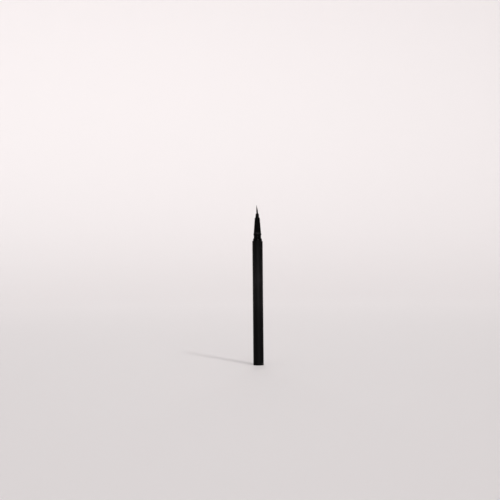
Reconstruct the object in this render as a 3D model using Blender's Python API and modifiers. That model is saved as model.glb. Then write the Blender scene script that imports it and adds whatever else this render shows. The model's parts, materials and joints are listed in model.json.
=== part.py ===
"""Liquid eyeliner pen with a brush tip, standing on its tail with the cap off.

The pen stands along +Z with the middle of its foot at the origin. A tubular barrel holds the liquid and
two mixing balls, and a tail plug closes it. The applicator pushes into the barrel's front end: a collector
with comb fins meters the liquid, a relay core carries it forward, and the brush sits in a holder in the
front section. Lengths are in metres.
"""

import math

import bmesh
import bpy

MM = 0.001

# Fits between pieces
SEAM = 0.1 * MM  # gap between two faces that meet end to end
FIT = 0.1 * MM  # play of a round piece in its bore, all round
RIB_FIT = 0.05 * MM  # play of a sealing rib or ring in its bore, all round
CUT_OVERRUN = 1.0 * MM  # how far a cutter reaches past what it cuts
FILLET_LIMIT_SHARE = 0.9  # most of the room beside it that a fillet or chamfer takes

# Barrel
BARREL_RADIUS = 4.4 * MM
BARREL_WALL = 0.9 * MM
BARREL_LENGTH = 103.5 * MM
BARREL_RIM_ROUND = 0.15 * MM
BARREL_LEAD_IN = 0.15 * MM  # chamfer inside the rear rim
REBATE_DEPTH = 0.4 * MM  # step inside the front rim that the collar ring sits in

# Tail plug
PLUG_FLANGE_THICKNESS = 1.8 * MM
PLUG_FOOT_ROUND = 0.25 * MM
PLUG_LENGTH = 7.2 * MM  # the part inside the barrel
PLUG_RELIEF = 0.3 * MM  # how far the plug's body stands clear of the bore, between its ribs
PLUG_RIB_WIDTH = 0.8 * MM
PLUG_RIB_COUNT = 3
PLUG_NOSE_CHAMFER = 0.4 * MM
PLUG_WALL = 2.0 * MM  # wall round the blind hole that keeps the moulding even
PLUG_CORE_FLOOR = 1.7 * MM  # solid length between the flange and that hole
PLUG_GATE_RADIUS = 0.9 * MM  # dimple under the foot where the plastic was fed in
PLUG_GATE_DEPTH = 0.25 * MM

# Mixing balls
BALL_RADIUS = 1.5 * MM
BALL_GAP = 0.2 * MM  # between the balls, and between a ball and what it rests on

# Collar ring, held between the barrel's rim and the front section's flange
COLLAR_STEP = 0.55 * MM  # how far it stands in from the barrel's side
COLLAR_HEIGHT = 2.0 * MM
COLLAR_CHAMFER = 0.3 * MM

# Front section, from its flange up to its mouth
FLANGE_LAP = 0.15 * MM  # how far the flange reaches out over the collar ring
FLANGE_HEIGHT = 0.5 * MM
FLANGE_ROUND = 0.15 * MM
NECK_STEP = 0.43 * MM  # how far the neck stands in from the flange's edge
NECK_LENGTH = 2.45 * MM
NECK_FILLET = 0.25 * MM
BEAD_HEIGHT = 0.3 * MM  # snap bead that a cap clicks over
BEAD_LENGTH = 1.7 * MM
CONE_LENGTH = 11.35 * MM
NOSE_STEP = 0.5 * MM  # how far the nose rounds in, from the cone's end to the mouth
NOSE_LENGTH = 2.2 * MM
MOUTH_WALL = 0.2 * MM

# Front section, inside the barrel and inside itself
SKIRT_LENGTH = 11.6 * MM
SKIRT_RELIEF = 0.2 * MM  # how far the skirt stands clear of the bore, between its ribs
SKIRT_WALL = 0.75 * MM
SKIRT_RIB_WIDTH = 0.9 * MM
SKIRT_RIB_COUNT = 2
SKIRT_CHAMFER = 0.25 * MM
SECTION_WALL = 0.82 * MM  # wall of the neck round the brush holder's flange
STEM_BORE_END = 3.2 * MM  # how far below the flange the bore for the collector's stem ends
HOLDER_SEAT_HEIGHT = 5.8 * MM  # height of the brush holder's stop above the flange's underside

# Brush holder
HOLDER_FIT = 0.05 * MM  # play of the holder in the section's mouth
HOLDER_REACH = 3.3 * MM  # how far it stands out of the mouth
HOLDER_TAPER_LENGTH = 1.7 * MM
HOLDER_TAPER = 0.22 * MM  # how much its radius loses along the taper
HOLDER_TIP_WALL = 0.44 * MM
HOLDER_TIP_ROUND = 0.2 * MM
HOLDER_FLANGE_THICKNESS = 1.4 * MM
HOLDER_TAIL_STEP = 0.45 * MM  # how far its tail stands in from its flange
HOLDER_TAIL_HEIGHT = 0.3 * MM  # height of its rear end above the section flange's underside
HOLDER_BORE_FIT = 0.06 * MM  # play of the brush in the holder

# Brush
BRISTLE_RADIUS = 0.78 * MM
BRISTLE_REACH = 7.3 * MM  # length of bristle in front of the holder
BRISTLE_POINT_RADIUS = 0.05 * MM
BRISTLE_SWELL_SHARE = 0.05  # how far the taper swells past a straight cone, as a share of its radius
FLEX_HEIGHT = 0.3 * MM  # height above the holder's rim of the point that the bristles bend about
ROOT_FLANGE_STEP = 0.32 * MM  # how far the bristles' fused ends stand out from the bundle
ROOT_FLANGE_THICKNESS = 1.2 * MM
ROOT_SEAT_DEPTH = 9.1 * MM  # how far into the holder's rear end the fused flange stops

# Relay core
CORE_STEP = 0.35 * MM  # how far the core stands in from the brush's fused flange

# Collector
STEM_END_GAP = 0.5 * MM  # space above the stem, in its bore
STEM_CHAMFER = 0.3 * MM
STOP_THICKNESS = 1.2 * MM  # flange that stops against the skirt
SHAFT_WALL = 0.75 * MM
FIN_COUNT = 20
FIN_THICKNESS = 0.7 * MM
FIN_GAP = 0.8 * MM
FIN_RELIEF = 0.25 * MM  # air space between a fin and the bore
SLIT_WIDTH = 0.4 * MM  # capillary slit through fins and shaft, on the pen's front side
AIR_GROOVE_WIDTH = 1.3 * MM  # air groove through the fins, on the far side
AIR_GROOVE_DEPTH = 0.2 * MM  # how far that groove bites into the shaft
HEAD_LENGTH = 3.6 * MM  # sealing head that closes off the tank
HEAD_MOUTH_STEP = 0.65 * MM  # how far the head's mouth flares out from the core's bore
HEAD_MOUTH_DEPTH = 0.8 * MM

# Sealing ring round the collector's head
RING_CORD_RADIUS = 0.4 * MM

# Radii that follow from those above, from the barrel inwards and then from the brush outwards
BORE_RADIUS = BARREL_RADIUS - BARREL_WALL
SKIRT_RADIUS = BORE_RADIUS - SKIRT_RELIEF
SKIRT_BORE = SKIRT_RADIUS - SKIRT_WALL
COLLAR_BORE = SKIRT_RADIUS + FIT
COLLAR_RADIUS = BARREL_RADIUS - COLLAR_STEP
REBATE_RADIUS = COLLAR_RADIUS + FIT
FLANGE_RADIUS = COLLAR_BORE + FLANGE_LAP
NECK_RADIUS = FLANGE_RADIUS - NECK_STEP
SEAT_BORE = NECK_RADIUS - SECTION_WALL
HOLDER_FLANGE_RADIUS = SEAT_BORE - FIT
HOLDER_TAIL_RADIUS = HOLDER_FLANGE_RADIUS - HOLDER_TAIL_STEP
STEM_RADIUS = SKIRT_BORE - FIT
HOLDER_BORE = BRISTLE_RADIUS + HOLDER_BORE_FIT
HOLDER_TIP_RADIUS = HOLDER_BORE + HOLDER_TIP_WALL
HOLDER_RADIUS = HOLDER_TIP_RADIUS + HOLDER_TAPER
MOUTH_BORE = HOLDER_RADIUS + HOLDER_FIT
MOUTH_RADIUS = MOUTH_BORE + MOUTH_WALL
NOSE_RADIUS = MOUTH_RADIUS + NOSE_STEP
ROOT_FLANGE_RADIUS = BRISTLE_RADIUS + ROOT_FLANGE_STEP
CORE_RADIUS = ROOT_FLANGE_RADIUS - CORE_STEP
CORE_BORE = CORE_RADIUS + FIT
SHAFT_RADIUS = CORE_BORE + SHAFT_WALL
RING_RADIUS = BORE_RADIUS - RIB_FIT - RING_CORD_RADIUS  # at the middle of the cord
GROOVE_RADIUS = RING_RADIUS - RING_CORD_RADIUS - RIB_FIT
GROOVE_HALF_WIDTH = RING_CORD_RADIUS + FIT

# Heights above the foot that follow, from the foot to the brush's point and back down inside
BARREL_BASE = PLUG_FLANGE_THICKNESS + SEAM
BARREL_TOP = BARREL_BASE + BARREL_LENGTH
PLUG_TOP = PLUG_FLANGE_THICKNESS + PLUG_LENGTH
REBATE_BASE = BARREL_TOP - REBATE_DEPTH
COLLAR_BASE = REBATE_BASE + SEAM
COLLAR_TOP = COLLAR_BASE + COLLAR_HEIGHT
FLANGE_BASE = COLLAR_TOP + SEAM
NECK_BASE = FLANGE_BASE + FLANGE_HEIGHT
BEAD_BASE = NECK_BASE + NECK_LENGTH
CONE_BASE = BEAD_BASE + BEAD_LENGTH
NOSE_BASE = CONE_BASE + CONE_LENGTH
MOUTH_TOP = NOSE_BASE + NOSE_LENGTH
HOLDER_TOP = MOUTH_TOP + HOLDER_REACH
FLEX_POINT = HOLDER_TOP + FLEX_HEIGHT
BRUSH_POINT = HOLDER_TOP + BRISTLE_REACH
HOLDER_SEAT = FLANGE_BASE + HOLDER_SEAT_HEIGHT
HOLDER_FLANGE_TOP = HOLDER_SEAT - SEAM
HOLDER_FLANGE_BASE = HOLDER_FLANGE_TOP - HOLDER_FLANGE_THICKNESS
HOLDER_BASE = FLANGE_BASE + HOLDER_TAIL_HEIGHT
ROOT_SEAT = HOLDER_BASE + ROOT_SEAT_DEPTH
ROOT_FLANGE_TOP = ROOT_SEAT - SEAM
ROOT_BASE = ROOT_FLANGE_TOP - ROOT_FLANGE_THICKNESS
ROOT_TOP = FLEX_POINT - BRISTLE_RADIUS - SEAM
SKIRT_BASE = FLANGE_BASE - SKIRT_LENGTH
STEM_BORE_TOP = FLANGE_BASE - STEM_BORE_END
STEM_TOP = STEM_BORE_TOP - STEM_END_GAP
STOP_TOP = SKIRT_BASE - SEAM
COMB_TOP = STOP_TOP - STOP_THICKNESS
COMB_LENGTH = FIN_COUNT * FIN_THICKNESS + (FIN_COUNT + 1) * FIN_GAP
COMB_BASE = COMB_TOP - COMB_LENGTH
COLLECTOR_BASE = COMB_BASE - HEAD_LENGTH
CORE_BASE = COLLECTOR_BASE + HEAD_MOUTH_DEPTH
RING_HEIGHT = COLLECTOR_BASE + HEAD_LENGTH / 2

# Fineness of the meshes
OUTER_STEPS = 48
INNER_STEPS = 32
COMB_STEPS = 24
ARC_STEPS = 4
TAPER_STEPS = 6
MERGE_DISTANCE = 0.001 * MM


def empty_scene():
    for obj in list(bpy.data.objects):
        bpy.data.objects.remove(obj, do_unlink=True)


def collection(name):
    made = bpy.data.collections.new(name)
    bpy.context.scene.collection.children.link(made)
    return made


def material(name, colour, roughness, metallic=0.0):
    made = bpy.data.materials.new(name)
    made.use_nodes = True
    made.diffuse_color = (*colour, 1)
    shader = made.node_tree.nodes["Principled BSDF"]
    shader.inputs["Base Color"].default_value = (*colour, 1)
    shader.inputs["Roughness"].default_value = roughness
    shader.inputs["Metallic"].default_value = metallic
    return made


def height_of(obj):
    """Height of an object's origin above the foot, through its parents."""
    height = 0
    while obj:
        height += obj.location.z
        obj = obj.parent
    return height


def hang(obj, parent, height, offset=0):
    """Parents an object, and places it at a height above the foot and a distance off the axis."""
    obj.parent = parent
    obj.location = (offset, 0, height - height_of(parent))


def joint_frame(parts, name, height, parent=None):
    """An empty that carries the pieces that move together."""
    frame = bpy.data.objects.new(name, None)
    frame.empty_display_size = BARREL_RADIUS
    parts.objects.link(frame)
    hang(frame, parent, height)
    return frame


def arc(centre, size, start, end, count=ARC_STEPS):
    """Points (radius, height) along an elliptical arc, where 0 degrees points away from the axis."""
    points = []
    for step in range(count + 1):
        angle = math.radians(start + (end - start) * step / count)
        points.append((centre[0] + size[0] * math.cos(angle), centre[1] + size[1] * math.sin(angle)))
    return points


def bands(body_radius, band_radius, top, base, width, count):
    """Outline of evenly spaced raised bands, from the top of a stretch down to its base."""
    space = (top - base - count * width) / (count + 1)
    points = []
    for band in range(count):
        upper = top - space - band * (width + space)
        lower = upper - width
        points += [(body_radius, upper), (band_radius, upper), (band_radius, lower), (body_radius, lower)]
    return points


def outline_mesh(name, outline, origin, is_loop):
    """A mesh of edges along an outline of (radius, height above the foot), with its origin at a height."""
    shape = bmesh.new()
    points = [shape.verts.new((radius, 0, height - origin)) for radius, height in outline]
    for first, second in zip(points, points[1:]):
        shape.edges.new((first, second))
    if is_loop:
        shape.edges.new((points[-1], points[0]))
    mesh = bpy.data.meshes.new(name)
    shape.to_mesh(mesh)
    shape.free()
    return mesh


def turned(parts, name, outline, finish, parent, origin, steps=OUTER_STEPS):
    """A round piece: an outline that runs down its outer side, spun about the pen's axis.

    An outline that starts off the axis is closed into a loop, which makes a piece with a bore.
    """
    is_loop = outline[0][0] > 0
    obj = bpy.data.objects.new(name, outline_mesh(name, outline, origin, is_loop))
    parts.objects.link(obj)
    obj.data.materials.append(finish)
    screw = obj.modifiers.new("Turning", "SCREW")
    screw.axis = "Z"
    screw.steps = screw.render_steps = steps
    screw.use_smooth_shade = True
    screw.use_merge_vertices = True
    screw.merge_threshold = MERGE_DISTANCE
    hang(obj, parent, origin)
    return obj


def flatten_shading(obj):
    """Keeps flat faces flat beside rounded edges. It comes after every modifier that changes the shape."""
    obj.modifiers.new("Weighted normals", "WEIGHTED_NORMAL")


def cut_box(obj, cutters, name, low, high):
    """Cuts a box out of a piece. Its corners are (x, y, height above the foot)."""
    bpy.ops.mesh.primitive_cube_add(size=1)
    box = bpy.context.object
    box.name = name
    box.dimensions = [far - near for near, far in zip(low, high)]
    box.location = [(near + far) / 2 for near, far in zip(low, high)]
    bpy.ops.object.transform_apply(location=False, rotation=False, scale=True)
    for holder in list(box.users_collection):
        holder.objects.unlink(box)
    cutters.objects.link(box)
    box.hide_render = True
    box.display_type = "WIRE"
    cut = obj.modifiers.new(name, "BOOLEAN")
    cut.operation = "DIFFERENCE"
    cut.object = box


def make_barrel(parts, finish, parent):
    top_round = arc(
        (BARREL_RADIUS - BARREL_RIM_ROUND, BARREL_TOP - BARREL_RIM_ROUND),
        (BARREL_RIM_ROUND, BARREL_RIM_ROUND),
        90,
        0,
    )
    base_round = arc(
        (BARREL_RADIUS - BARREL_RIM_ROUND, BARREL_BASE + BARREL_RIM_ROUND),
        (BARREL_RIM_ROUND, BARREL_RIM_ROUND),
        0,
        -90,
    )
    outline = [
        *top_round,
        *base_round,
        (BORE_RADIUS + BARREL_LEAD_IN, BARREL_BASE),
        (BORE_RADIUS, BARREL_BASE + BARREL_LEAD_IN),
        (BORE_RADIUS, REBATE_BASE),
        (REBATE_RADIUS, REBATE_BASE),
        (REBATE_RADIUS, BARREL_TOP),
    ]
    flatten_shading(turned(parts, "barrel", outline, finish, parent, BARREL_BASE))


def make_tail_plug(parts, finish, parent):
    body_radius = BORE_RADIUS - PLUG_RELIEF
    core_radius = body_radius - PLUG_WALL
    core_floor = PLUG_FLANGE_THICKNESS + PLUG_CORE_FLOOR
    outline = [
        (0, core_floor),
        (core_radius, core_floor),
        (core_radius, PLUG_TOP),
        (body_radius - PLUG_NOSE_CHAMFER, PLUG_TOP),
        (body_radius, PLUG_TOP - PLUG_NOSE_CHAMFER),
        *bands(
            body_radius,
            BORE_RADIUS - RIB_FIT,
            PLUG_TOP - PLUG_NOSE_CHAMFER,
            PLUG_FLANGE_THICKNESS + BARREL_LEAD_IN,
            PLUG_RIB_WIDTH,
            PLUG_RIB_COUNT,
        ),
        (body_radius, PLUG_FLANGE_THICKNESS),
        (BARREL_RADIUS - BARREL_RIM_ROUND, PLUG_FLANGE_THICKNESS),
        (BARREL_RADIUS, PLUG_FLANGE_THICKNESS - BARREL_RIM_ROUND),
        *arc(
            (BARREL_RADIUS - PLUG_FOOT_ROUND, PLUG_FOOT_ROUND),
            (PLUG_FOOT_ROUND, PLUG_FOOT_ROUND),
            0,
            -90,
        ),
        (PLUG_GATE_RADIUS, 0),
        (PLUG_GATE_RADIUS, PLUG_GATE_DEPTH),
        (0, PLUG_GATE_DEPTH),
    ]
    flatten_shading(turned(parts, "tail_plug", outline, finish, parent, 0))


def make_mixing_balls(parts, finish, parent):
    """Two loose balls on the tail plug: side by side, or one a little higher where the bore is narrow."""
    offset = min(BALL_RADIUS + BALL_GAP / 2, BORE_RADIUS - BALL_RADIUS - BALL_GAP)
    centres_apart = 2 * BALL_RADIUS + BALL_GAP
    rise = math.sqrt(max(0, centres_apart**2 - (2 * offset) ** 2))
    rest_height = PLUG_TOP + BALL_GAP + BALL_RADIUS
    mesh = bpy.data.meshes.new("mixing_ball")
    shape = bmesh.new()
    bmesh.ops.create_uvsphere(shape, u_segments=16, v_segments=10, radius=BALL_RADIUS)
    shape.to_mesh(mesh)
    shape.free()
    mesh.shade_smooth()
    mesh.materials.append(finish)
    for number, side in ((1, -1), (2, 1)):
        ball = bpy.data.objects.new(f"mixing_ball_{number}", mesh)
        parts.objects.link(ball)
        hang(ball, parent, rest_height + (number - 1) * rise, side * offset)


def make_collar_ring(parts, finish, parent):
    chamfer_width = min(COLLAR_CHAMFER / 2, (COLLAR_RADIUS - COLLAR_BORE) * FILLET_LIMIT_SHARE)
    outline = [
        (COLLAR_RADIUS - chamfer_width, COLLAR_TOP),
        (COLLAR_RADIUS, COLLAR_TOP - COLLAR_CHAMFER),
        (COLLAR_RADIUS, COLLAR_BASE),
        (COLLAR_BORE, COLLAR_BASE),
        (COLLAR_BORE, COLLAR_TOP),
    ]
    flatten_shading(turned(parts, "collar_ring", outline, finish, parent, COLLAR_BASE))


def make_front_section(parts, finish, parent):
    neck_fillet = min(NECK_FILLET, (NECK_STEP - FLANGE_ROUND) * FILLET_LIMIT_SHARE)
    outside = [
        *arc((MOUTH_RADIUS, NOSE_BASE), (NOSE_RADIUS - MOUTH_RADIUS, NOSE_LENGTH), 90, 0, TAPER_STEPS),
        *arc((NECK_RADIUS, BEAD_BASE + BEAD_LENGTH / 2), (BEAD_HEIGHT, BEAD_LENGTH / 2), 90, -90, TAPER_STEPS),
        *arc((NECK_RADIUS + neck_fillet, NECK_BASE + neck_fillet), (neck_fillet, neck_fillet), 180, 270),
        *arc(
            (FLANGE_RADIUS - FLANGE_ROUND, NECK_BASE - FLANGE_ROUND),
            (FLANGE_ROUND, FLANGE_ROUND),
            90,
            0,
        ),
        (FLANGE_RADIUS, FLANGE_BASE),
        (SKIRT_RADIUS, FLANGE_BASE),
        *bands(
            SKIRT_RADIUS,
            BORE_RADIUS - RIB_FIT,
            REBATE_BASE,
            SKIRT_BASE + SKIRT_CHAMFER,
            SKIRT_RIB_WIDTH,
            SKIRT_RIB_COUNT,
        ),
        (SKIRT_RADIUS, SKIRT_BASE + SKIRT_CHAMFER),
        (SKIRT_RADIUS - SKIRT_CHAMFER, SKIRT_BASE),
    ]
    inside = [
        (SKIRT_BORE, SKIRT_BASE),
        (SKIRT_BORE, STEM_BORE_TOP),
        (SEAT_BORE, STEM_BORE_TOP),
        (SEAT_BORE, HOLDER_SEAT),
        (MOUTH_BORE, HOLDER_SEAT),
        (MOUTH_BORE, MOUTH_TOP),
    ]
    flatten_shading(turned(parts, "front_section", outside + inside, finish, parent, FLANGE_BASE))


def make_brush_holder(parts, finish, parent):
    rear_bore = ROOT_FLANGE_RADIUS + HOLDER_BORE_FIT
    outline = [
        *arc(
            (HOLDER_TIP_RADIUS - HOLDER_TIP_ROUND, HOLDER_TOP - HOLDER_TIP_ROUND),
            (HOLDER_TIP_ROUND, HOLDER_TIP_ROUND),
            90,
            0,
        ),
        (HOLDER_RADIUS, HOLDER_TOP - HOLDER_TAPER_LENGTH),
        (HOLDER_RADIUS, HOLDER_FLANGE_TOP),
        (HOLDER_FLANGE_RADIUS, HOLDER_FLANGE_TOP),
        (HOLDER_FLANGE_RADIUS, HOLDER_FLANGE_BASE),
        (HOLDER_TAIL_RADIUS, HOLDER_FLANGE_BASE),
        (HOLDER_TAIL_RADIUS, HOLDER_BASE),
        (rear_bore, HOLDER_BASE),
        (rear_bore, ROOT_SEAT),
        (HOLDER_BORE, ROOT_SEAT),
        (HOLDER_BORE, HOLDER_TOP),
    ]
    flatten_shading(turned(parts, "brush_holder", outline, finish, parent, HOLDER_BASE, INNER_STEPS))


def make_brush_root(parts, finish, parent):
    """The hidden end of the bristle bundle, with its ends fused into a flange."""
    outline = [
        (0, ROOT_TOP),
        (BRISTLE_RADIUS, ROOT_TOP),
        (BRISTLE_RADIUS, ROOT_FLANGE_TOP),
        (ROOT_FLANGE_RADIUS, ROOT_FLANGE_TOP),
        (ROOT_FLANGE_RADIUS, ROOT_BASE),
        (0, ROOT_BASE),
    ]
    turned(parts, "brush_root", outline, finish, parent, ROOT_BASE, COMB_STEPS)


def make_brush_tip(parts, finish, parent):
    """The bristles in front of the holder, which bend about a ball-shaped base in the holder's mouth."""
    outline = [(0, BRUSH_POINT)]
    for step in range(TAPER_STEPS):
        share = step / TAPER_STEPS
        swell = 1 + BRISTLE_SWELL_SHARE * math.sin(math.pi * share)
        radius = BRISTLE_POINT_RADIUS + (BRISTLE_RADIUS - BRISTLE_POINT_RADIUS) * share * swell
        outline.append((radius, BRUSH_POINT + (FLEX_POINT - BRUSH_POINT) * share))
    outline += arc((0, FLEX_POINT), (BRISTLE_RADIUS, BRISTLE_RADIUS), 0, -90, ARC_STEPS)[:-1]
    outline.append((0, FLEX_POINT - BRISTLE_RADIUS))
    turned(parts, "brush_tip", outline, finish, parent, FLEX_POINT, COMB_STEPS)


def make_relay_core(parts, finish, parent):
    outline = [
        (0, ROOT_BASE - SEAM),
        (CORE_RADIUS, ROOT_BASE - SEAM),
        (CORE_RADIUS, CORE_BASE),
        (0, CORE_BASE),
    ]
    turned(parts, "relay_core", outline, finish, parent, CORE_BASE, COMB_STEPS)


def make_absorber_ring(parts, finish, parent):
    """A felt ring that fills the space between the collector's stem and the brush holder."""
    top = HOLDER_BASE - SEAM
    base = STEM_TOP + SEAM
    outline = [
        (HOLDER_FLANGE_RADIUS, top),
        (HOLDER_FLANGE_RADIUS, base),
        (CORE_BORE, base),
        (CORE_BORE, top),
    ]
    turned(parts, "absorber_ring", outline, finish, parent, base, INNER_STEPS)


def make_collector(parts, cutters, finish, parent):
    fin_radius = BORE_RADIUS - FIN_RELIEF
    head_radius = BORE_RADIUS - FIT
    outline = [
        (STEM_RADIUS - STEM_CHAMFER, STEM_TOP),
        (STEM_RADIUS, STEM_TOP - STEM_CHAMFER),
        (STEM_RADIUS, STOP_TOP),
        (SKIRT_RADIUS, STOP_TOP),
        (SKIRT_RADIUS, COMB_TOP),
        (SHAFT_RADIUS, COMB_TOP),
        *bands(SHAFT_RADIUS, fin_radius, COMB_TOP, COMB_BASE, FIN_THICKNESS, FIN_COUNT),
        (SHAFT_RADIUS, COMB_BASE),
        (head_radius, COMB_BASE),
        (head_radius, RING_HEIGHT + GROOVE_HALF_WIDTH),
        (GROOVE_RADIUS, RING_HEIGHT + GROOVE_HALF_WIDTH),
        (GROOVE_RADIUS, RING_HEIGHT - GROOVE_HALF_WIDTH),
        (head_radius, RING_HEIGHT - GROOVE_HALF_WIDTH),
        (head_radius, COLLECTOR_BASE),
        (CORE_BORE + HEAD_MOUTH_STEP, COLLECTOR_BASE),
        (CORE_BORE, CORE_BASE),
        (CORE_BORE, STEM_TOP),
    ]
    comb = turned(parts, "collector", outline, finish, parent, COLLECTOR_BASE, COMB_STEPS)
    reach = BORE_RADIUS + CUT_OVERRUN
    cut_box(
        comb,
        cutters,
        "capillary_slit",
        (-SLIT_WIDTH / 2, -reach, COMB_BASE),
        (SLIT_WIDTH / 2, -CORE_BORE / 2, COMB_TOP),
    )
    cut_box(
        comb,
        cutters,
        "air_groove",
        (-AIR_GROOVE_WIDTH / 2, SHAFT_RADIUS - AIR_GROOVE_DEPTH, COMB_BASE),
        (AIR_GROOVE_WIDTH / 2, reach, COMB_TOP),
    )


def make_sealing_ring(parts, finish, parent):
    bpy.ops.mesh.primitive_torus_add(
        major_radius=RING_RADIUS,
        minor_radius=RING_CORD_RADIUS,
        major_segments=INNER_STEPS,
        minor_segments=8,
    )
    ring = bpy.context.object
    ring.name = "sealing_ring"
    ring.data.materials.append(finish)
    ring.data.shade_smooth()
    for holder in list(ring.users_collection):
        holder.objects.unlink(ring)
    parts.objects.link(ring)
    hang(ring, parent, RING_HEIGHT)


def main():
    empty_scene()
    parts = collection("liquid_eyeliner_pen")
    cutters = collection("cutters")

    satin_black = material("satin_black_plastic", (0.012, 0.012, 0.012), 0.45)
    gloss_black = material("gloss_black_plastic", (0.010, 0.010, 0.010), 0.3)
    ink_black = material("inked_bristle", (0.006, 0.005, 0.006), 0.55)
    inked_felt = material("inked_felt", (0.02, 0.02, 0.022), 0.9)
    clean_felt = material("clean_felt", (0.62, 0.60, 0.56), 0.95)
    comb_plastic = material("collector_plastic", (0.72, 0.71, 0.67), 0.4)
    seal_rubber = material("seal_rubber", (0.10, 0.02, 0.02), 0.6)
    steel = material("ball_steel", (0.62, 0.62, 0.63), 0.18, 1.0)

    bottle = joint_frame(parts, "bottle_frame", 0)
    applicator = joint_frame(parts, "applicator_frame", BARREL_TOP, bottle)
    brush = joint_frame(parts, "brush_frame", FLEX_POINT, applicator)

    make_barrel(parts, satin_black, bottle)
    make_tail_plug(parts, satin_black, bottle)
    make_mixing_balls(parts, steel, bottle)
    make_collar_ring(parts, gloss_black, applicator)
    make_front_section(parts, gloss_black, applicator)
    make_brush_holder(parts, gloss_black, applicator)
    make_brush_root(parts, ink_black, applicator)
    make_brush_tip(parts, ink_black, brush)
    make_relay_core(parts, inked_felt, applicator)
    make_absorber_ring(parts, clean_felt, applicator)
    make_collector(parts, cutters, comb_plastic, applicator)
    make_sealing_ring(parts, seal_rubber, applicator)


main()
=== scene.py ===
"""Finished look of a slim liquid eyeliner pen that stands on its tail with the cap off.

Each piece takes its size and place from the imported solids. The round ones are turned again from
their solids' own outlines, with fine rounded edges. The fins of the collector and the bristles of
the brush are repeated shapes. Every surface has a material made of nodes. The file is laid out as
an add-on and is run as a script.
"""

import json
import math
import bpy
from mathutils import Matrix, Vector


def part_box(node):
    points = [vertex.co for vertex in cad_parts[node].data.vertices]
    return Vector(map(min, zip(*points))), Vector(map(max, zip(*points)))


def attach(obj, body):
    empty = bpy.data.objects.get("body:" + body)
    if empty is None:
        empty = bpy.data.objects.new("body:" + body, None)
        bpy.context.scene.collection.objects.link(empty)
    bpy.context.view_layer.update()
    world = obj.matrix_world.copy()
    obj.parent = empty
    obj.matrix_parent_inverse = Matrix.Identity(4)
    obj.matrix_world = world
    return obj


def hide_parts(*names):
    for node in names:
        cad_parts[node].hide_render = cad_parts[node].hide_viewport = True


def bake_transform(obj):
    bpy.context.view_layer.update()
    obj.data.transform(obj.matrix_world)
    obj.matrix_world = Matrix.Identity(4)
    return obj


bl_info = {
    "name": "Liquid eyeliner pen",
    "version": (1, 0, 0),
    "blender": (4, 5, 0),
    "location": "3D View > Sidebar > Eyeliner pen",
    "description": "Makes the pieces, materials, lamps and camera of a liquid eyeliner pen",
    "category": "Object",
}

from collections import Counter, defaultdict

import bmesh
import bpy
from mathutils import Matrix, Vector

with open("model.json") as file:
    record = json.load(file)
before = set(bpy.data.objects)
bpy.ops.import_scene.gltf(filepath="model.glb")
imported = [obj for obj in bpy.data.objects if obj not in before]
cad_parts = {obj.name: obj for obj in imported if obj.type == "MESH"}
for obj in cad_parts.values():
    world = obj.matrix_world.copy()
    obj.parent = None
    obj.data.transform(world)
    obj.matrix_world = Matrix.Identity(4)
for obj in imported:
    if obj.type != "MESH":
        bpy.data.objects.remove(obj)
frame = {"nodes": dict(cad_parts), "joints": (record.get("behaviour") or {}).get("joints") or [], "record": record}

MM = 0.001
TOUCH = 0.0005 * MM  # points closer than this are one point
GOLDEN_ANGLE = math.pi * (3 - math.sqrt(5))


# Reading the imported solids


def slot_colour(slot):
    """The colour that the record gives a material slot."""
    materials = frame["record"]["materials"]
    return next(entry["base_color"] for entry in materials if entry["slot"] == slot)


def joint_height(name):
    """How high the record puts a hinge."""
    return next(joint["pos_m"][2] for joint in frame["joints"] if joint["name"] == name)


def outline_of(node):
    """The (radius, height) points of a turned solid, in order down its outer side.

    They are the points of its mesh on the +X side of the pen's axis. A piece with a bore has a
    loop of points. One without a bore has an outline that starts and ends on the axis.
    """
    mesh = frame["nodes"][node].data
    spots = {}
    for vertex in mesh.vertices:
        if abs(vertex.co.y) < TOUCH and vertex.co.x > -TOUCH:
            spots[vertex.index] = (round(vertex.co.x / TOUCH), round(vertex.co.z / TOUCH))
    links = defaultdict(set)
    for edge in mesh.edges:
        first, second = (spots.get(index) for index in edge.vertices)
        if first and second and first != second:
            links[first].add(second)
            links[second].add(first)
    ends = [spot for spot in links if len(links[spot]) == 1]
    walk = [max(ends or links, key=lambda spot: spot[1])]
    while len(walk) < len(links):
        walk.append(next(spot for spot in links[walk[-1]] if spot not in walk))
    outline = [Vector(spot) * TOUCH for spot in walk]
    if ends and outline[0].x > TOUCH:
        outline.insert(0, Vector((0, outline[0].y)))
    if ends and outline[-1].x > TOUCH:
        outline.append(Vector((0, outline[-1].y)))
    stretches = zip(outline, outline[1:] + outline[:1])
    area = sum(here.x * after.y - after.x * here.y for here, after in stretches)
    return outline[::-1] if area > 0 else outline


def side_gap(node, side, radius, low, high):
    """Half the width of a piece's slot on one side, -1 or 1 in Y.

    It is measured past a radius and between two heights.
    """
    points = [vertex.co for vertex in frame["nodes"][node].data.vertices]
    return min(abs(point.x) for point in points if side * point.y > radius and low < point.z < high)


def groove_floor(node, gap):
    """How far behind the pen's axis a groove's floor lies, from half the groove's width."""
    points = [vertex.co for vertex in frame["nodes"][node].data.vertices]
    walls = [point for point in points if abs(abs(point.x) - gap) < TOUCH]
    return min(point.y for point in walls if point.y > CORE_RADIUS)


def comb_radii(outline):
    """Radii of a comb's shaft and of its fins, where most points of its outline lie."""
    radii = Counter(round(point.x / TOUCH) for point in outline).most_common(2)
    return sorted(radius * TOUCH for radius, _ in radii)


def heights_at(outline, radius):
    """Heights of an outline's points at a radius, from the lowest up."""
    return sorted(point.y for point in outline if abs(point.x - radius) < TOUCH)


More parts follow.
